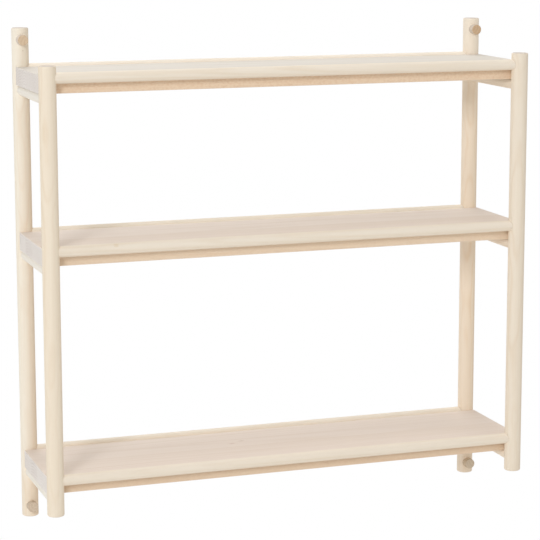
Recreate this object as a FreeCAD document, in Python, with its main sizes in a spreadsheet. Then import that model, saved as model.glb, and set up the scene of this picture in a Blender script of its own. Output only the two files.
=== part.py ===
import FreeCAD
import Part
import Sketcher
import os

# Wall-hung shelf of round wood: two long rear posts, two shorter front posts and three thick boards.
# Each board rests on two side rungs and lies between a front and a rear rail.
# +X is to the right, the front faces -Y and +Z is up. The wall is the plane Y = 0.
# The origin is on the wall, at the centre of the four wall holes. All sizes are in millimetres.

SIZES = [
    ("post_diameter", 25, "round posts"),
    ("post_end_round", 2, "rounding of the post ends"),
    ("post_spacing", 730, "left to right post axis"),
    ("post_depth_spacing", 178, "front to rear post axis"),
    ("rear_post_length", 746, "whole length of a rear post"),
    ("bottom_shelf_height", 102, "bottom rails above the feet of the rear posts"),
    ("middle_shelf_height", 438, "middle rails above the feet of the rear posts"),
    ("top_shelf_drop", 61, "top rails below the heads of the rear posts"),
    ("front_post_drop", 51.5, "front posts below the bottom rails"),
    ("front_post_rise", 17.5, "front posts above the top rails"),
    ("rail_diameter", 16, "front and rear rails"),
    ("rung_diameter", 16, "side rungs under the boards"),
    ("dowel_end_chamfer", 1, "chamfer of the hidden rail and rung ends"),
    ("socket_depth", 16, "sockets for rails and rungs, from the post's side"),
    ("socket_clearance", 0.05, "gap round a dowel in its socket"),
    ("socket_end_gap", 0.5, "gap behind a dowel's end in its socket"),
    ("board_overhang", 10, "board ends past the post axes"),
    ("board_thickness", 27, "boards"),
    ("board_rise", 4, "board tops above the rail axes"),
    ("board_edge_round", 1, "rounding of the board edges"),
    ("board_post_gap", 0.2, "gap between a board and a post"),
    ("board_rung_gap", 0.1, "gap between a board and a rung"),
    ("peg_diameter", 16, "pegs over the wall screws"),
    ("peg_inset", 17.5, "peg axis from the end of its post"),
    ("peg_proud", 9.5, "peg in front of its post"),
    ("peg_seat_depth", 9, "peg inside its post"),
    ("peg_clearance", 0.05, "sliding gap round a peg"),
    ("peg_edge_round", 1, "rounding of a peg's front edge"),
    ("peg_lead_chamfer", 1, "chamfer of a peg's inner edge"),
    ("peg_socket_depth", 14, "peg hole, with room for a screw head behind the peg"),
    ("wall_hole_diameter", 5, "hole for a wall screw"),
    ("screw_shank_diameter", 4, "board screws"),
    ("screw_head_diameter", 8, "head of a board screw"),
    ("screw_head_height", 2.5, "head of a board screw"),
    ("screw_shank_length", 30, "board screw under its head"),
    ("screw_point_length", 4, "point of a board screw"),
    ("screw_recess", 3.5, "seat of a screw head inside a rung"),
    ("screw_clearance", 0.1, "gap round a screw"),
    ("screw_socket_width", 3, "hexagon socket of a screw head, across its flats"),
    ("screw_socket_depth", 1.4, "hexagon socket of a screw head"),
    ("screw_spacing", 96, "front to rear screw of a rung"),
]

SIDES = {"left": -1, "right": 1}
# Heights of each shelf's rails above the feet of the rear posts.
SHELVES = {
    "bottom": "Sizes.bottom_shelf_height",
    "middle": "Sizes.middle_shelf_height",
    "top": "(Sizes.rear_post_length - Sizes.top_shelf_drop)",
}

POST_RADIUS = "Sizes.post_diameter / 2"
FOOT_LEVEL = "-Sizes.rear_post_length / 2"
MID_DEPTH = "-(Sizes.post_diameter + Sizes.post_depth_spacing) / 2"
FRONT_AXIS = "-(Sizes.post_diameter / 2 + Sizes.post_depth_spacing)"
REAR_AXIS = "-Sizes.post_diameter / 2"
# A dowel's reach past the axes of the two posts that it joins.
SOCKET_PAST_AXIS = "Sizes.socket_depth - Sizes.post_diameter / 2"
DOWEL_PAST_AXES = f"2 * ({SOCKET_PAST_AXIS} - Sizes.socket_end_gap)"
BOARD_FLOOR = "Sizes.board_rise - Sizes.board_thickness"
RUNG_LEVEL = f"{BOARD_FLOOR} - Sizes.board_rung_gap - Sizes.rung_diameter / 2"
BOARD_LENGTH = "Sizes.post_spacing + 2 * Sizes.board_overhang"
BOARD_DEPTH = "Sizes.post_depth_spacing - Sizes.post_diameter - 2 * Sizes.board_post_gap"
FRONT_POST_LENGTH = (
    f"{SHELVES['top']} - {SHELVES['bottom']} + Sizes.front_post_drop + Sizes.front_post_rise"
)
# Heights of the peg axes above the feet of the rear posts.
PEG_LEVELS = {"bottom": "Sizes.peg_inset", "top": "Sizes.rear_post_length - Sizes.peg_inset"}
SCREW_HOLE_DIAMETER = "Sizes.screw_shank_diameter + 2 * Sizes.screw_clearance"
SCREW_SEAT_LEVEL = "Sizes.screw_recess - Sizes.rung_diameter / 2"
SCREW_IN_BOARD = (
    "Sizes.screw_shank_length - (Sizes.rung_diameter - Sizes.screw_recess) - Sizes.board_rung_gap"
)

doc = FreeCAD.newDocument("wall_shelf")
sheet = doc.addObject("Spreadsheet::Sheet", "Sizes")
for row, (alias, value, note) in enumerate(SIZES, start=1):
    sheet.set(f"A{row}", alias)
    sheet.set(f"B{row}", str(value))
    sheet.setAlias(f"B{row}", alias)
    sheet.set(f"C{row}", note)
doc.recompute()

pieces = []


def new_piece(label, x="0", y="0", z="0"):
    body = doc.addObject("PartDesign::Body", label)
    body.Label = label
    for axis, expression in (("x", x), ("y", y), ("z", z)):
        body.setExpression(f"Placement.Base.{axis}", expression)
    pieces.append(body)
    return body


def origin_feature(body, role):
    return next(f for f in body.Origin.OriginFeatures if f.Role == role)


def new_sketch(body, name, plane, offset=None):
    sketch = body.newObject("Sketcher::SketchObject", name)
    sketch.AttachmentSupport = (origin_feature(body, plane), "")
    sketch.MapMode = "FlatFace"
    if offset:
        sketch.setExpression("AttachmentOffset.Base.z", offset)
    return sketch


def constrain(sketch, expression, kind, *places):
    index = sketch.addConstraint(Sketcher.Constraint(kind, *places, 1.0))
    sketch.setExpression(f"Constraints[{index}]", expression)


def add_circle(sketch, diameter, up=None):
    """A circle at the sketch's origin, or on its upright axis at a height above it."""
    start = FreeCAD.Vector(0, 1 if up else 0, 0)
    circle = sketch.addGeometry(Part.Circle(start, FreeCAD.Vector(0, 0, 1), 1))
    constrain(sketch, diameter, "Diameter", circle)
    if up:
        sketch.addConstraint(Sketcher.Constraint("PointOnObject", circle, 3, -2))
        constrain(sketch, up, "DistanceY", -1, 1, circle, 3)
    else:
        sketch.addConstraint(Sketcher.Constraint("Coincident", circle, 3, -1, 1))
    return circle


def add_outline(sketch, corners):
    """A closed outline of straight lines. Each corner is its distance from the sketch's two axes."""
    for corner in range(len(corners)):
        start = FreeCAD.Vector(corner, corner % 3, 0)
        end = FreeCAD.Vector(corner + 1, (corner + 1) % 3, 0)
        sketch.addGeometry(Part.LineSegment(start, end))
    for corner, (across, up) in enumerate(corners):
        before = (corner - 1) % len(corners)
        sketch.addConstraint(Sketcher.Constraint("Coincident", before, 2, corner, 1))
        constrain(sketch, across, "DistanceX", -1, 1, corner, 1)
        constrain(sketch, up, "DistanceY", -1, 1, corner, 1)


def pad(body, sketch, length, symmetric=False):
    feature = body.newObject("PartDesign::Pad", "Pad")
    feature.Profile = sketch
    feature.setExpression("Length", length)
    if symmetric:
        feature.SideType = "Symmetric"
    doc.recompute()
    return feature


def cut(body, sketch, reverse=False, both_ways=False):
    """Cuts from the sketch's plane to the outside: against its normal, along it if reversed, or both ways."""
    before = body.Shape.Volume
    feature = body.newObject("PartDesign::Pocket", "Pocket")
    feature.Profile = sketch
    feature.Type = "ThroughAll"
    feature.Reversed = reverse
    if both_ways:
        feature.SideType = "Symmetric"
    doc.recompute()
    if body.Shape.Volume >= before:
        raise RuntimeError(f"{body.Label}: {sketch.Label} cut nothing")
    return feature


def end_edges(feature, axis, ends):
    """Names of the feature's round edges at its low and high ends along an axis."""
    box = feature.Shape.BoundBox
    levels = {"low": box.getPoint(0)[axis], "high": box.getPoint(6)[axis]}
    names = []
    for index, edge in enumerate(feature.Shape.Edges, start=1):
        round_edge = isinstance(edge.Curve, Part.Circle)
        if round_edge and any(abs(edge.Curve.Center[axis] - levels[end]) < 1e-6 for end in ends):
            names.append(f"Edge{index}")
    return names


def ease_ends(body, feature, kind, size, axis, ends=("low", "high")):
    """A fillet or a chamfer round the ends of a dowel."""
    eased = body.newObject(f"PartDesign::{kind}", kind)
    eased.Base = (feature, end_edges(feature, axis, ends))
    eased.setExpression("Radius" if kind == "Fillet" else "Size", size)
    doc.recompute()
    return eased


def add_pair(sketch, diameter, spacing):
    """Two circles on the sketch's upright axis, on either side of its origin."""
    circles = []
    for start in (-1, 1):
        circle = Part.Circle(FreeCAD.Vector(0, start, 0), FreeCAD.Vector(0, 0, 1), 1)
        circles.append(sketch.addGeometry(circle))
        constrain(sketch, diameter, "Diameter", circles[-1])
    low, high = circles
    sketch.addConstraint(Sketcher.Constraint("Symmetric", low, 3, high, 3, -1, 1))
    sketch.addConstraint(Sketcher.Constraint("PointOnObject", low, 3, -2))
    constrain(sketch, spacing, "DistanceY", low, 3, high, 3)


def add_rectangle(sketch, width, depth):
    """A rectangle centred on the sketch's origin."""
    corners = [FreeCAD.Vector(x, y, 0) for x, y in ((-1, -1), (1, -1), (1, 1), (-1, 1))]
    for index, corner in enumerate(corners):
        sketch.addGeometry(Part.LineSegment(corner, corners[(index + 1) % 4]))
    for index in range(4):
        sketch.addConstraint(Sketcher.Constraint("Coincident", index, 2, (index + 1) % 4, 1))
        sketch.addConstraint(Sketcher.Constraint("Vertical" if index % 2 else "Horizontal", index))
    sketch.addConstraint(Sketcher.Constraint("Symmetric", 0, 1, 1, 2, -1, 1))
    constrain(sketch, width, "DistanceX", 0, 1, 0, 2)
    constrain(sketch, depth, "DistanceY", 1, 1, 1, 2)


def repeat_at_screws(body, *features):
    """Repeats the features of one board screw at all four: left and right, front and rear."""
    pattern = body.newObject("PartDesign::LinearPattern", "LinearPattern")
    pattern.Originals = features
    pattern.Direction = (origin_feature(body, "X_Axis"), [""])
    pattern.setExpression("Length", "Sizes.post_spacing")
    pattern.Occurrences = 2
    pattern.Direction2 = (origin_feature(body, "Y_Axis"), [""])
    pattern.setExpression("Length2", "Sizes.screw_spacing")
    pattern.Occurrences2 = 2
    body.Tip = pattern
    doc.recompute()


def make_post(label, side, axis_y, foot, length, rung_way):
    """A round post with blind sockets: rails on its inner side, rungs to the front or the back."""
    body = new_piece(label, f"{SIDES[side]} * Sizes.post_spacing / 2", axis_y, f"{FOOT_LEVEL} + {foot}")
    section = new_sketch(body, "Section", "XY_Plane")
    add_circle(section, "Sizes.post_diameter")
    ease_ends(body, pad(body, section, length), "Fillet", "Sizes.post_end_round", 2)

    rails = new_sketch(body, "RailSockets", "YZ_Plane", f"{SIDES[side]} * ({SOCKET_PAST_AXIS})")
    rungs = new_sketch(body, "RungSockets", "XZ_Plane", f"{rung_way} * ({SOCKET_PAST_AXIS})")
    for shelf in SHELVES:
        rail_level = f"{SHELVES[shelf]} - ({foot})"
        add_circle(rails, "Sizes.rail_diameter + 2 * Sizes.socket_clearance", rail_level)
        add_circle(rungs, "Sizes.rung_diameter + 2 * Sizes.socket_clearance", f"{rail_level} + {RUNG_LEVEL}")
    cut(body, rails, reverse=SIDES[side] < 0)
    cut(body, rungs, reverse=rung_way < 0)
    return body


def make_rear_post(side):
    """A rear post also has a stepped hole near each end: wide at the front for a peg, narrow to the wall."""
    body = make_post(f"{side}_rear_post", side, REAR_AXIS, "0", "Sizes.rear_post_length", -1)
    peg_sockets = new_sketch(body, "PegSockets", "XZ_Plane", f"{POST_RADIUS} - Sizes.peg_socket_depth")
    wall_holes = new_sketch(body, "WallHoles", "XZ_Plane")
    for level in PEG_LEVELS.values():
        add_circle(peg_sockets, "Sizes.peg_diameter + 2 * Sizes.peg_clearance", level)
        add_circle(wall_holes, "Sizes.wall_hole_diameter", level)
    cut(body, peg_sockets, reverse=True)
    cut(body, wall_holes, both_ways=True)


def make_front_post(side):
    foot = f"{SHELVES['bottom']} - Sizes.front_post_drop"
    make_post(f"{side}_front_post", side, FRONT_AXIS, foot, FRONT_POST_LENGTH, 1)


def make_dowel(label, plane, diameter, length, z, y):
    """A round rod, centred on its place, with chamfered ends."""
    body = new_piece(label, y=y, z=z)
    section = new_sketch(body, "Section", plane)
    add_circle(section, diameter)
    along = {"YZ_Plane": 0, "XZ_Plane": 1}[plane]
    ease_ends(body, pad(body, section, length, symmetric=True), "Chamfer", "Sizes.dowel_end_chamfer", along)
    return body


def make_rail(shelf, place, axis_y):
    length = f"Sizes.post_spacing + {DOWEL_PAST_AXES}"
    level = f"{FOOT_LEVEL} + {SHELVES[shelf]}"
    make_dowel(f"{shelf}_{place}_rail", "YZ_Plane", "Sizes.rail_diameter", length, level, axis_y)


def make_rung(shelf, side):
    """A rung has two holes for the board's screws, with a seat for each head in its underside."""
    length = f"Sizes.post_depth_spacing + {DOWEL_PAST_AXES}"
    level = f"{FOOT_LEVEL} + {SHELVES[shelf]} + {RUNG_LEVEL}"
    body = make_dowel(f"{shelf}_{side}_rung", "XZ_Plane", "Sizes.rung_diameter", length, level, MID_DEPTH)
    body.setExpression("Placement.Base.x", f"{SIDES[side]} * Sizes.post_spacing / 2")
    shanks = new_sketch(body, "ScrewHoles", "XY_Plane")
    add_pair(shanks, SCREW_HOLE_DIAMETER, "Sizes.screw_spacing")
    cut(body, shanks, both_ways=True)
    seats = new_sketch(body, "ScrewSeats", "XY_Plane", SCREW_SEAT_LEVEL)
    add_pair(seats, "Sizes.screw_head_diameter + 2 * Sizes.screw_clearance", "Sizes.screw_spacing")
    cut(body, seats)


def make_board(shelf):
    """A solid board with eased edges and blind holes for the screws in its underside."""
    level = f"{FOOT_LEVEL} + {SHELVES[shelf]} + {BOARD_FLOOR}"
    body = new_piece(f"{shelf}_shelf_board", y=MID_DEPTH, z=level)
    outline = new_sketch(body, "Outline", "XY_Plane")
    add_rectangle(outline, BOARD_LENGTH, BOARD_DEPTH)
    slab = pad(body, outline, "Sizes.board_thickness")
    edges = body.newObject("PartDesign::Fillet", "Fillet")
    edges.Base = (slab, [f"Edge{index + 1}" for index in range(len(slab.Shape.Edges))])
    edges.setExpression("Radius", "Sizes.board_edge_round")
    doc.recompute()

    pilot = new_sketch(body, "ScrewHole", "XY_Plane", f"{SCREW_IN_BOARD} + Sizes.screw_clearance")
    hole = pilot.addGeometry(Part.Circle(FreeCAD.Vector(-1, -1, 0), FreeCAD.Vector(0, 0, 1), 1))
    constrain(pilot, SCREW_HOLE_DIAMETER, "Diameter", hole)
    constrain(pilot, "Sizes.post_spacing / 2", "DistanceX", hole, 3, -1, 1)
    constrain(pilot, "Sizes.screw_spacing / 2", "DistanceY", hole, 3, -1, 1)
    repeat_at_screws(body, cut(body, pilot))


def make_screws(shelf):
    """The four screws of a board, heads down, with a pointed shank and a hexagon socket in the head."""
    level = f"{FOOT_LEVEL} + {SHELVES[shelf]} + {RUNG_LEVEL} + {SCREW_SEAT_LEVEL}"
    body = new_piece(
        f"{shelf}_shelf_screws",
        "-Sizes.post_spacing / 2",
        f"{MID_DEPTH} - Sizes.screw_spacing / 2",
        f"{level} - Sizes.screw_head_height",
    )
    shank_radius = "Sizes.screw_shank_diameter / 2"
    head_radius = "Sizes.screw_head_diameter / 2"
    tip = "Sizes.screw_head_height + Sizes.screw_shank_length"
    profile = new_sketch(body, "Profile", "XZ_Plane")
    add_outline(
        profile,
        [
            ("0", "0"),
            (shank_radius, "0"),
            (head_radius, "Sizes.screw_head_height / 2"),
            (head_radius, "Sizes.screw_head_height"),
            (shank_radius, "Sizes.screw_head_height"),
            (shank_radius, f"{tip} - Sizes.screw_point_length"),
            ("0", tip),
        ],
    )
    turned = body.newObject("PartDesign::Revolution", "Revolution")
    turned.Profile = profile
    turned.ReferenceAxis = (profile, ["V_Axis"])
    doc.recompute()

    flat = "Sizes.screw_socket_width / 2"
    point = "Sizes.screw_socket_width / sqrt(3)"
    hexagon = new_sketch(body, "Socket", "XY_Plane", "Sizes.screw_socket_depth")
    add_outline(
        hexagon,
        [
            (flat, f"{point} / 2"),
            ("0", point),
            (f"-{flat}", f"{point} / 2"),
            (f"-{flat}", f"-{point} / 2"),
            ("0", f"-{point}"),
            (flat, f"-{point} / 2"),
        ],
    )
    repeat_at_screws(body, turned, cut(body, hexagon))


def make_peg(end, side):
    """A plain round peg over a wall screw. It pulls out to the front."""
    body = new_piece(
        f"{end}_{side}_peg",
        f"{SIDES[side]} * Sizes.post_spacing / 2",
        "Sizes.peg_seat_depth - Sizes.post_diameter",
        f"{FOOT_LEVEL} + {PEG_LEVELS[end]}",
    )
    section = new_sketch(body, "Section", "XZ_Plane")
    add_circle(section, "Sizes.peg_diameter")
    rod = pad(body, section, "Sizes.peg_seat_depth + Sizes.peg_proud")
    front = ease_ends(body, rod, "Fillet", "Sizes.peg_edge_round", 1, ["low"])
    ease_ends(body, front, "Chamfer", "Sizes.peg_lead_chamfer", 1, ["high"])


for side in SIDES:
    make_rear_post(side)
    make_front_post(side)
    for end in PEG_LEVELS:
        make_peg(end, side)
for shelf in SHELVES:
    make_board(shelf)
    make_rail(shelf, "front", FRONT_AXIS)
    make_rail(shelf, "rear", REAR_AXIS)
    for side in SIDES:
        make_rung(shelf, side)
    make_screws(shelf)
doc.recompute()

for item in doc.Objects:
    if {"Invalid", "Error"} & set(item.State):
        raise RuntimeError(f"{item.Label} failed: {item.State}")
for body in pieces:
    if body.Shape.isNull() or not body.Shape.isValid():
        raise RuntimeError(f"{body.Label} has no valid shape")

os.makedirs("parts", exist_ok=True)
for body in pieces:
    body.Shape.exportStep(f"parts/{body.Label}.step")
    print(f"{body.Label}: {len(body.Shape.Solids)} solid(s), {body.Shape.Volume / 1000:.2f} cm3")
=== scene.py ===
import math

import bmesh
import bpy
from mathutils import Euler, Matrix, Vector


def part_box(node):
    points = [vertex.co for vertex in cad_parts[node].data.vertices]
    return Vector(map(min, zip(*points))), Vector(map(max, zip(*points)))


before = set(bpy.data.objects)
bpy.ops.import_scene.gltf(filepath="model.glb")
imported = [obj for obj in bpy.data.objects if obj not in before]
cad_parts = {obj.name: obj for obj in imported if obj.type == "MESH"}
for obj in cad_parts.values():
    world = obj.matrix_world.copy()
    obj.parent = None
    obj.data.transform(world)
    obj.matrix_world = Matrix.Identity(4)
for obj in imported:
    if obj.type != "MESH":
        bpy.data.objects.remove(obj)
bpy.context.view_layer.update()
print("frame loaded:", len(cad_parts), "nodes")


def srgb(red, green, blue):
    # a colour as read off a screen, 0 to 255, made linear
    values = [channel / 255 for channel in (red, green, blue)]
    return [v / 12.92 if v <= 0.04045 else ((v + 0.055) / 1.055) ** 2.4 for v in values] + [1.0]


class Wire:
    # a socket of a node tree: sums on it add Math nodes
    def __init__(self, tree, socket=None):
        self.tree = tree
        self.socket = socket

    def add(self, kind, settings, inputs, output=0):
        # any node: its settings first, then the values or links of its sockets
        node = self.tree.nodes.new(kind)
        for key, value in settings.items():
            setattr(node, key, value)
        for key, value in inputs.items():
            if isinstance(value, Wire):
                self.tree.links.new(value.socket, node.inputs[key])
            else:
                node.inputs[key].default_value = value
        return Wire(self.tree, node.outputs[output] if node.outputs else None)

    def other(self, output):
        # another output of the same node
        return Wire(self.tree, self.socket.node.outputs[output])

    def calc(self, operation, *values):
        return self.add("ShaderNodeMath", {"operation": operation}, dict(enumerate(values)))

    def __add__(self, value):
        return self.calc("ADD", self, value)

    def __radd__(self, value):
        return self.calc("ADD", value, self)

    def __sub__(self, value):
        return self.calc("SUBTRACT", self, value)

    def __rsub__(self, value):
        return self.calc("SUBTRACT", value, self)

    def __mul__(self, value):
        return self.calc("MULTIPLY", self, value)

    def __rmul__(self, value):
        return self.calc("MULTIPLY", value, self)

    def __pow__(self, value):
        return self.calc("POWER", self, value)

    def __rpow__(self, value):
        return self.calc("POWER", value, self)

    def __abs__(self):
        return self.calc("ABSOLUTE", self)

    def ease(self, low, high, toLow=0.0, toHigh=1.0):
        # a smooth step from low to high
        inputs = {"Value": self, "From Min": low, "From Max": high, "To Min": toLow, "To Max": toHigh}
        return self.add("ShaderNodeMapRange", {"interpolation_type": "SMOOTHSTEP"}, inputs)

    def blend(self, first, second):
        # two colours mixed by this value; 6, 7 and 2 are the node's colour sockets
        settings = {"data_type": "RGBA", "clamp_factor": True}
        return self.add("ShaderNodeMix", settings, {0: self, 6: first, 7: second}, 2)


def newMaterial(name):
    material = bpy.data.materials.new(name)
    material.use_nodes = True
    material.node_tree.nodes.clear()
    return material, Wire(material.node_tree)


def closeMaterial(wire, shader):
    wire.add("ShaderNodeOutputMaterial", {}, {"Surface": shader})


def setFinish(node, material):
    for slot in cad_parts[node].material_slots:
        slot.material = material


# camera

photoCamera = {
    "frame": 540,  # pixels of the photograph
    "focal": 2005.76,  # pixels
    "place": (-0.98251, -2.94558, 0.54994),
    "yaw": 0.33101,
    "pitch": -0.16663,
    "roll": -0.00184,
    "shift": -0.05,
    "sensor": 36.0,
}


def makeCamera(spec):
    data = bpy.data.cameras.new("photoCamera")
    data.sensor_width = spec["sensor"]
    data.lens = spec["focal"] / spec["frame"] * spec["sensor"]
    data.shift_y = spec["shift"]
    yaw, pitch = spec["yaw"], spec["pitch"]
    ahead = Vector((math.sin(yaw) * math.cos(pitch), math.cos(yaw) * math.cos(pitch), math.sin(pitch)))
    right = Vector((math.cos(yaw), -math.sin(yaw), 0))
    turn = Matrix((right, right.cross(ahead), -ahead)).transposed()
    turn = turn @ Matrix.Rotation(spec["roll"], 3, "Z")
    camera = bpy.data.objects.new("photoCamera", data)
    camera.matrix_world = Matrix.LocRotScale(Vector(spec["place"]), turn.to_quaternion(), None)
    bpy.context.scene.collection.objects.link(camera)
    bpy.context.scene.camera = camera


makeCamera(photoCamera)
print("camera set")

# floor, world and lamps

plainWhite = (1, 1, 1, 1)

floorPlan = {
    "height": -0.95,
    "radius": 14.0,
    "sides": 96,
    "tone": srgb(246, 246, 246),
    "fade": (0.75, 1.5),  # between these radii the floor goes over to plain white
}

studioLight = {
    "ambient": (1.0, 0.971, 0.922, 1.0),
    "ambientLevel": 0.409,
    "middle": (0, -0.1, 0),
    "distance": 6.0,
    # degrees to the right of the front, degrees up, size, level on a facing surface, colour
    "lamps": {
        "keyLamp": (-37, 21, 1.4, 0.329, (0.928, 0.959, 1.0)),
        "leftLamp": (-88, 10, 3.2, 0.160, (0.76, 0.87, 1.0)),
        "rightLamp": (45, 18, 3.2, 0.095, (1.0, 0.98, 0.95)),
        "backLamp": (180, 45, 3.2, 0.292, (1.0, 1.0, 1.0)),
        "topLamp": (0, 86, 3.2, 0.239, (1.0, 1.0, 1.0)),
    },
}


def viewRays(wire):
    # rays from the camera, and with them those that show the backdrop in gloss and glass
    camera = wire.add("ShaderNodeLightPath", {}, {}, "Is Camera Ray")
    backdrop = wire.calc("MAXIMUM", camera, camera.other("Is Glossy Ray"))
    backdrop = wire.calc("MAXIMUM", backdrop, camera.other("Is Transmission Ray"))
    return camera, backdrop


def makeFloor(spec):
    shape = bmesh.new()
    bmesh.ops.create_circle(shape, cap_ends=True, segments=spec["sides"], radius=spec["radius"])
    bmesh.ops.translate(shape, verts=shape.verts, vec=(0, 0, spec["height"]))
    mesh = bpy.data.meshes.new("studioFloor")
    shape.to_mesh(mesh)
    shape.free()
    floor = bpy.data.objects.new("studioFloor", mesh)
    bpy.context.scene.collection.objects.link(floor)
    material, wire = newMaterial("studioFloor")
    camera, backdrop = viewRays(wire)
    point = wire.add("ShaderNodeTexCoord", {}, {}, "Object")
    reach = wire.add("ShaderNodeVectorMath", {"operation": "LENGTH"}, {0: point}, "Value")
    far = reach.ease(*[math.hypot(radius, spec["height"]) for radius in spec["fade"]])
    matt = wire.add("ShaderNodeBsdfDiffuse", {}, {"Color": spec["tone"]})
    glow = wire.add("ShaderNodeEmission", {}, {"Color": plainWhite, "Strength": 1.0})
    shown = wire.add("ShaderNodeMixShader", {}, {0: far * backdrop, 1: matt, 2: glow})
    clear = wire.add("ShaderNodeBsdfTransparent", {}, {})
    below = wire.add("ShaderNodeNewGeometry", {}, {}, "Backfacing") * camera
    closeMaterial(wire, wire.add("ShaderNodeMixShader", {}, {0: below, 1: shown, 2: clear}))
    mesh.materials.append(material)


def makeWorld(spec):
    world = bpy.data.worlds.new("studioWorld")
    world.use_nodes = True
    world.node_tree.nodes.clear()
    wire = Wire(world.node_tree)
    backdrop = viewRays(wire)[1]
    ambient = {"Color": spec["ambient"], "Strength": spec["ambientLevel"]}
    soft = wire.add("ShaderNodeBackground", {}, ambient)
    back = wire.add("ShaderNodeBackground", {}, {"Color": plainWhite, "Strength": 1.0})
    both = wire.add("ShaderNodeMixShader", {}, {0: backdrop, 1: soft, 2: back})
    wire.add("ShaderNodeOutputWorld", {}, {"Surface": both})
    bpy.context.scene.world = world


def makeLamps(spec):
    for name, (azimuth, elevation, size, level, colour) in spec["lamps"].items():
        data = bpy.data.lights.new(name, "AREA")
        data.size = size
        data.energy = level * (math.pi * spec["distance"]) ** 2  # watts for that level so far away
        data.color = colour
        lamp = bpy.data.objects.new(name, data)
        turn = Euler((math.radians(90 - elevation), 0, math.radians(azimuth))).to_quaternion()
        place = Vector(spec["middle"]) + turn @ Vector((0, 0, spec["distance"]))
        lamp.matrix_world = Matrix.LocRotScale(place, turn, None)
        bpy.context.scene.collection.objects.link(lamp)


makeFloor(floorPlan)
makeWorld(studioLight)
makeLamps(studioLight)
bpy.context.scene.view_settings.view_transform = "Standard"
print("studio set")

# wood


def oneStave(across, through):
    # a piece that isn't glued up, by its pith's place from the middle
    return [{"pith": (across, through), "tone": 0.0, "end": 0.0}]


postWood = {  # pale cream with a soft flame; the other woods start from it
    "grain": "z",
    "staves": oneStave(0.013, 0.038),
    "endLight": srgb(223, 214, 205),
    "endDeep": srgb(200, 185, 171),
    "ringWidth": 0.0044,
    "wander": 0.020,  # how far the rings stray from a round
    "wanderGrain": (18, 7.0),  # how fine that is across and along the grain
    "taper": 0.012,
    "flame": 0.28,
    "thin": 3.0,  # how thin the dark lines of the rings are
    "fibre": 0.34,
    "streak": 0.12,
    "blotch": 0.18,
    "fleck": 0.10,
    "start": 0.12,  # how deep the plain wood is
    "shadeLean": (0.0, 0.0),  # how much deeper it gets across the grain, per metre: painted shade across the piece
    "endRing": 0.5,
    "endPore": 1.2,
    "endStart": 0.25,
    "roughness": 0.62,
    "relief": 0.16,
}

postLooks = {  # each post has its own tone, partly its wood and partly painted shade and light from where it stands; head and foot: how much deeper they are, a paler head being painted light where a rear post stands clear above the shelves
    # left side deeper: painted shade
    "left_front_post": {
        "light": srgb(243, 230, 210),
        "deep": srgb(225, 201, 170),
        "shadeLean": (-11.0, 0.0),
    },
    # right side deeper: painted shade; paler head: painted light above the shelves; the foot deeper
    "left_rear_post": {
        "light": srgb(243, 232, 214),
        "deep": srgb(230, 203, 172),
        "start": 0.14,
        "shadeLean": (14.0, 0.0),
        "tips": (-0.34, 0.30),
    },
    "right_front_post": {
        "light": srgb(242, 230, 212),
        "deep": srgb(224, 201, 172),
        "tips": (0.0, 0.10),
    },
    # deeper all along with a paler head: painted shade below the top shelf, painted light above it
    "right_rear_post": {
        "light": srgb(248, 235, 217),
        "deep": srgb(231, 203, 168),
        "start": 0.30,
        "shadeLean": (6.0, 0.0),
        "tips": (-0.40, 0.0),
    },
}

railWood = {
    **postWood,
    "grain": "x",
    "staves": oneStave(0.05, -0.03),
    "wanderGrain": (18, 2.2),
    "flame": 0.25,
    "thin": 2.2,
    "streak": 0.30,
    # painted shade: the rails and rungs get deeper towards their undersides
    "shadeLean": (0.0, -15.0),
    "joint": 0.365,  # the posts' axes, from the middle
}
rungWood = {**railWood, "grain": "y", "staves": oneStave(0.03, 0.03), "joint": 0.089}

# the rear rails are paler than the front ones: painted light, for the back light on their tops
railLooks = {
    "front": {"light": srgb(243, 232, 216), "deep": srgb(227, 206, 177)},
    "rear": {"light": srgb(247, 237, 222), "deep": srgb(231, 211, 184)},
}
# the left rungs paler and cooler, the right ones deeper and warmer: painted light and shade, as the light
# comes from the left
rungLooks = {
    "left": {"light": srgb(246, 239, 227), "deep": srgb(231, 216, 194)},
    "right": {"light": srgb(243, 228, 208), "deep": srgb(228, 204, 175)},
}

boardWood = {  # greyer and faintly pink; its long edges are a warm tan
    **postWood,
    "grain": "x",
    "light": srgb(243, 231, 221),
    "deep": srgb(221, 202, 183),
    "edgeLight": srgb(233, 211, 185),
    "edgeDeep": srgb(219, 188, 158),
    "endLight": srgb(240, 232, 224),
    "endDeep": srgb(213, 201, 191),
    "ringWidth": 0.0042,
    "wander": 0.010,
    "wanderGrain": (18, 1.8),
    "flame": 0.24,
    "thin": 2.2,
    "fibre": 0.20,
    "streak": 0.26,
    "blotch": 0.26,
    "start": 0.16,
    "endPore": 2.1,
    "endStart": 0.14,
    "edgeFibre": 0.2,
    "edgeMottle": 0.5,
}

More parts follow.
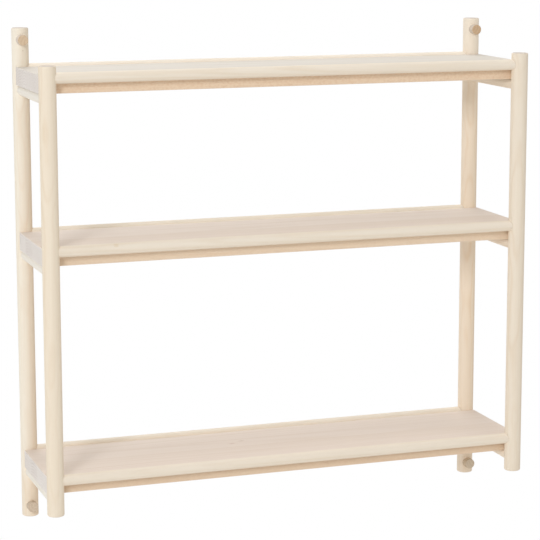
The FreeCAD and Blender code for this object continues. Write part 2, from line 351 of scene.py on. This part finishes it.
# staves go from rear to front: where one starts, the pith's place, how much deeper the side and the end are
boardLooks = {
    "top": {  # paler and greyer than the lower boards: painted light, for the cooler light on the top shelf
        "light": srgb(227, 221, 212),
        "deep": srgb(206, 193, 176),
        "edgeLight": srgb(237, 213, 186),
        "edgeDeep": srgb(223, 190, 158),
        "edgeFibre": 0.1,
        "edgeMottle": 1.5,
        "staves": [
            {"pith": (0.030, -0.090), "tone": 0.05, "end": 0.12},
            {"from": 0.044, "pith": (0.015, -0.060), "tone": -0.06, "end": 0.0},
            {"from": -0.019, "pith": (-0.090, -0.050), "tone": 0.0, "end": 0.03},
        ],
    },
    "middle": {
        "edgeLight": srgb(240, 221, 197),
        "edgeDeep": srgb(226, 198, 169),
        "edgeFibre": 0.5,
        "staves": [
            {"pith": (0.060, -0.120), "tone": -0.04, "end": -0.04},
            {"from": 0.032, "pith": (0.010, -0.080), "tone": -0.03, "end": 0.10},
            {"from": -0.009, "pith": (-0.110, -0.050), "tone": 0.20, "end": 0.0},
        ],
    },
    "bottom": {
        "staves": [
            {"pith": (0.080, -0.070), "tone": 0.02, "end": 0.0},
            {"from": 0.029, "pith": (0.000, -0.110), "tone": 0.06, "end": 0.10},
            {"from": -0.010, "pith": (-0.044, -0.018), "tone": 0.15, "end": -0.10},
        ],
    },
}

pegWood = {
    **postWood,
    "grain": "y",
    "ringWidth": 0.0046,
    "wander": 0.006,
    "flame": 0.45,
    "thin": 2.2,
    "endRing": 0.3,
}

pegLooks = {
    "top_left_peg": {
        "light": srgb(226, 212, 197),
        "deep": srgb(206, 190, 173),
        "endLight": srgb(228, 205, 177),
        "endDeep": srgb(200, 172, 140),
        "staves": oneStave(0.008, -0.004),
    },
    "top_right_peg": {
        "light": srgb(222, 208, 192),
        "deep": srgb(202, 186, 168),
        "endLight": srgb(218, 190, 159),
        "endDeep": srgb(192, 158, 122),
        "staves": oneStave(-0.009, 0.004),
    },
    # the sides are deeper than the top pegs': painted shade under the bottom shelf
    "bottom_left_peg": {
        "light": srgb(210, 191, 169),
        "deep": srgb(189, 168, 145),
        "endLight": srgb(222, 205, 184),
        "endDeep": srgb(190, 166, 141),
        "staves": oneStave(0.003, 0.003),
    },
    # the sides are deeper than the top pegs': painted shade under the bottom shelf
    "bottom_right_peg": {
        "light": srgb(208, 187, 160),
        "deep": srgb(188, 165, 136),
        "endLight": srgb(222, 206, 184),
        "endDeep": srgb(197, 178, 154),
        "staves": oneStave(0.012, 0.008),
    },
}

knotBrown = srgb(214, 188, 146)
scarBrown = srgb(186, 146, 120)
speckBrown = srgb(168, 140, 112)

woodSpots = {  # place, size, stretch along the grain, strength, colour
    "middle_front_rail": [((-0.2707, -0.1960, 0.0708), 0.0042, 1.2, 0.32, knotBrown)],
    "middle_shelf_board": [((-0.2151, -0.0618, 0.069), 0.0011, 1.6, 0.6, speckBrown)],
    "bottom_shelf_board": [
        ((-0.0645, -0.0931, -0.267), 0.0036, 2.0, 0.30, scarBrown),
        ((-0.0466, -0.0832, -0.267), 0.0034, 1.7, 0.30, speckBrown),
    ],
    "left_rear_post": [((-0.3636, -0.0249, 0.3396), 0.0009, 1.2, 0.6, speckBrown)],
}

paintedJointShade = {  # painted shade: a thin dark line where a dowel goes into the posts, the joint's shadow
    "colour": srgb(176, 146, 112),
    "strength": 0.22,
    "postRadius": 0.0125,
    "gap": (0.0003, 0.0018),  # from the post's side outwards
    "upper": (0.001, 0.007),  # heights over the dowel's axis, the painted shade is on top
    "turn": 0.012,  # at the right end it goes further round
}

# the rest is the same in all of the wood

grainAxes = {"x": ("X", "Y", "Z"), "y": ("Y", "X", "Z"), "z": ("Z", "X", "Y")}  # along, then across

grainNoise = {  # how fine across and along the grain, detail, roughness
    "presence": (30, 3.1, 2.0, 0.5),  # where the flame is strong
    "fibre": (620, 8, 3.0, 0.6),
    "streak": (95, 1.1, 2.0, 0.55),
    "blotch": (14, 4.2, 2.0, 0.5),
    "fleck": (1300, 150, 0.0, 0.5),
    "mottle": (330, 240, 1.0, 0.5),  # on long edges
    "pore": (900, 900, 2.0, 0.6),  # on end grain
    "ragged": (500, 200, 2.0, 0.5),  # the outline of spots
}

grainSteps = {  # smooth steps: from, to, and the values there if not 0 and 1
    "presence": (-0.12, 0.2, 0.3, 1.0),
    "fleck": (0.18, 0.3),
    "seam": (0.0002, 0.0007, 0.3, 0.0),
    "head": (0.24, 0.33),  # heights on a post, from its middle
    "foot": (-0.27, -0.33),
    "edgeFace": (0.4, 0.9),  # how straight a face looks across the grain
    "endFace": (0.55, 0.97),  # how straight it looks along the grain
    "spot": (0.35, 1.0),
}

grainMix = {
    "pieceStep": 2.37,  # metres of grain from one piece to the next, so that no two look alike
    "staveStep": 1.31,
    "endBlotch": 0.5,
    "ragged": 0.8,
    "fibreRough": 0.16,
    "endRough": 0.12,
    "fibreHeight": 0.7,
    "ringHeight": 0.25,
    "fleckHeight": -0.4,
    "bumpDepth": 0.0004,
    "gloss": 0.15,
}


def makeWood(name, node, look, seed):
    material, wire = newMaterial(name)
    low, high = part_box(node)
    centre = (low + high) / 2
    letters = grainAxes[look["grain"]]
    point = wire.add("ShaderNodeTexCoord", {}, {}, "Object")
    local = wire.add("ShaderNodeMapping", {"vector_type": "POINT"}, {"Vector": point, "Location": -centre})
    split = wire.add("ShaderNodeSeparateXYZ", {}, {0: local})
    along, across, through = (split.other(letter) for letter in letters)

    # pith, grain and tone change from stave to stave, with a fine dark seam between them
    staves = look["staves"]
    pith = list(staves[0]["pith"])
    run = along + grainMix["pieceStep"] * seed
    tone, endTone = staves[0]["tone"], staves[0]["end"]
    for before, stave in zip(staves, staves[1:]):
        mask = across.calc("LESS_THAN", across, stave["from"])
        pith = [old + mask * (new - last) for old, new, last in zip(pith, stave["pith"], before["pith"])]
        run = run + mask * grainMix["staveStep"]
        seam = abs(across - stave["from"]).ease(*grainSteps["seam"])
        tone = mask * (stave["tone"] - before["tone"]) + seam + tone
        endTone = mask * (stave["end"] - before["end"]) + seam + endTone

    def noise(wide, long, detail=2.0, rough=0.5):
        place = wire.add("ShaderNodeCombineXYZ", {}, {0: across * wide, 1: through * wide, 2: run * long})
        sockets = {"Vector": place, "Scale": 1.0, "Detail": detail, "Roughness": rough}
        return wire.add("ShaderNodeTexNoise", {"noise_dimensions": "3D"}, sockets) - 0.5

    # rings round the pith, cut by the surface into a flame
    out = across - pith[0]
    up = through - pith[1]
    radius = (out * out + up * up) ** 0.5
    radius = radius + noise(*look["wanderGrain"]) * look["wander"] + along * look["taper"]
    turns = radius * (2 * math.pi / look["ringWidth"])
    ring = turns.calc("SINE", turns) * 0.5 + 0.5
    late = ring ** look["thin"]
    presence = noise(*grainNoise["presence"]).ease(*grainSteps["presence"])
    fibre = noise(*grainNoise["fibre"])
    streak = noise(*grainNoise["streak"])
    blotch = noise(*grainNoise["blotch"])
    fleck = noise(*grainNoise["fleck"]).ease(*grainSteps["fleck"])
    shade = late * presence * look["flame"] + fibre * look["fibre"] + streak * look["streak"]
    shade = shade + blotch * look["blotch"] + fleck * look["fleck"] + tone + look["start"]
    # painted shade: deeper to one side of a post, and towards the undersides of rails and rungs
    shade = shade + across * look["shadeLean"][0] + through * look["shadeLean"][1]
    # painted light and shade along a post: a paler head above the shelves, a deeper foot
    if "tips" in look:
        shade = shade + along.ease(*grainSteps["head"]) * look["tips"][0]
        shade = shade + along.ease(*grainSteps["foot"]) * look["tips"][1]
    colour = shade.blend(look["light"], look["deep"])

    # long edges of boards, then end grain
    facing = wire.add("ShaderNodeNewGeometry", {}, {}, "Normal")
    turned = wire.add("ShaderNodeSeparateXYZ", {}, {0: facing})
    if "edgeLight" in look:
        edgeFace = abs(turned.other(letters[1])).ease(*grainSteps["edgeFace"])
        mottle = noise(*grainNoise["mottle"])
        edgeShade = shade + fibre * look["edgeFibre"] + mottle * look["edgeMottle"]
        colour = edgeFace.blend(colour, edgeShade.blend(look["edgeLight"], look["edgeDeep"]))
    endFace = abs(turned.other(letters[0])).ease(*grainSteps["endFace"])
    pores = noise(*grainNoise["pore"])
    endShade = ring * look["endRing"] + pores * look["endPore"] + blotch * grainMix["endBlotch"]
    endShade = endShade + endTone + look["endStart"]
    colour = endFace.blend(colour, endShade.blend(look["endLight"], look["endDeep"]))

    for place, size, stretch, strength, stain in woodSpots.get(node, ()):
        scale = [1 / size] * 3
        scale["xyz".index(look["grain"])] /= stretch
        offset = wire.add("ShaderNodeVectorMath", {"operation": "SUBTRACT"}, {0: point, 1: place})
        offset = wire.add("ShaderNodeVectorMath", {"operation": "MULTIPLY"}, {0: offset, 1: scale})
        away = wire.add("ShaderNodeVectorMath", {"operation": "LENGTH"}, {0: offset}, "Value")
        away = away + noise(*grainNoise["ragged"]) * grainMix["ragged"]
        colour = away.ease(*grainSteps["spot"], strength, 0.0).blend(colour, stain)

    # painted shade along the top of each dowel where it meets a post
    if "joint" in look:
        reach = abs(along) - look["joint"]
        gap = (reach * reach + across * across) ** 0.5 - paintedJointShade["postRadius"]
        upper = (through + along * paintedJointShade["turn"]).ease(*paintedJointShade["upper"])
        line = gap.ease(*paintedJointShade["gap"], paintedJointShade["strength"], 0.0) * upper
        colour = line.blend(colour, paintedJointShade["colour"])

    rough = fibre * grainMix["fibreRough"] + endFace * grainMix["endRough"] + look["roughness"]
    height = fibre * grainMix["fibreHeight"] + late * grainMix["ringHeight"]
    height = height + fleck * grainMix["fleckHeight"]
    relief = {"Strength": look["relief"], "Distance": grainMix["bumpDepth"], "Height": height}
    sockets = {
        "Base Color": colour,
        "Roughness": rough,
        "Normal": wire.add("ShaderNodeBump", {}, relief),
        "Specular IOR Level": grainMix["gloss"],
    }
    closeMaterial(wire, wire.add("ShaderNodeBsdfPrincipled", {}, sockets))
    return material


shelves = ("top", "middle", "bottom")

woodPieces = []  # kind, node and look; a piece's number in this list is its seed
for node, look in postLooks.items():
    woodPieces.append(("postWood", node, {**postWood, **look}))
for shelf in shelves:
    for row, look in railLooks.items():
        woodPieces.append(("railWood", f"{shelf}_{row}_rail", {**railWood, **look}))
    for side, look in rungLooks.items():
        woodPieces.append(("rungWood", f"{shelf}_{side}_rung", {**rungWood, **look}))
    woodPieces.append(("boardWood", f"{shelf}_shelf_board", {**boardWood, **boardLooks[shelf]}))
for node, look in pegLooks.items():
    woodPieces.append(("pegWood", node, {**pegWood, **look}))

for seed, (kind, node, look) in enumerate(woodPieces, 1):
    setFinish(node, makeWood(f"{kind}_{node}", node, look, seed))
print("wood done:", len(woodPieces), "finishes")

# screws

screwSteel = {
    "tone": srgb(196, 194, 190),
    "dull": srgb(150, 147, 142),
    "film": {"Scale": 420.0, "Detail": 3.0},
    "filmStep": (0.35, 0.7),  # where the film makes it dull
    "roughness": 0.24,
    "filmRough": 0.2,
    "grit": {"Scale": 2600.0, "Detail": 1.0},
    "relief": {"Strength": 0.1, "Distance": 0.0002},
}


def makeSteel(spec):
    material, wire = newMaterial("screwSteel")
    point = wire.add("ShaderNodeTexCoord", {}, {}, "Object")
    film = wire.add("ShaderNodeTexNoise", {}, {"Vector": point, **spec["film"]})
    grit = wire.add("ShaderNodeTexNoise", {}, {"Vector": point, **spec["grit"]})
    colour = film.ease(*spec["filmStep"]).blend(spec["tone"], spec["dull"])
    bump = wire.add("ShaderNodeBump", {}, {"Height": grit, **spec["relief"]})
    rough = film * spec["filmRough"] + spec["roughness"]
    sockets = {"Base Color": colour, "Metallic": 1.0, "Roughness": rough, "Normal": bump}
    closeMaterial(wire, wire.add("ShaderNodeBsdfPrincipled", {}, sockets))
    return material


steel = makeSteel(screwSteel)
for shelf in shelves:
    setFinish(f"{shelf}_shelf_screws", steel)
print("screws done")
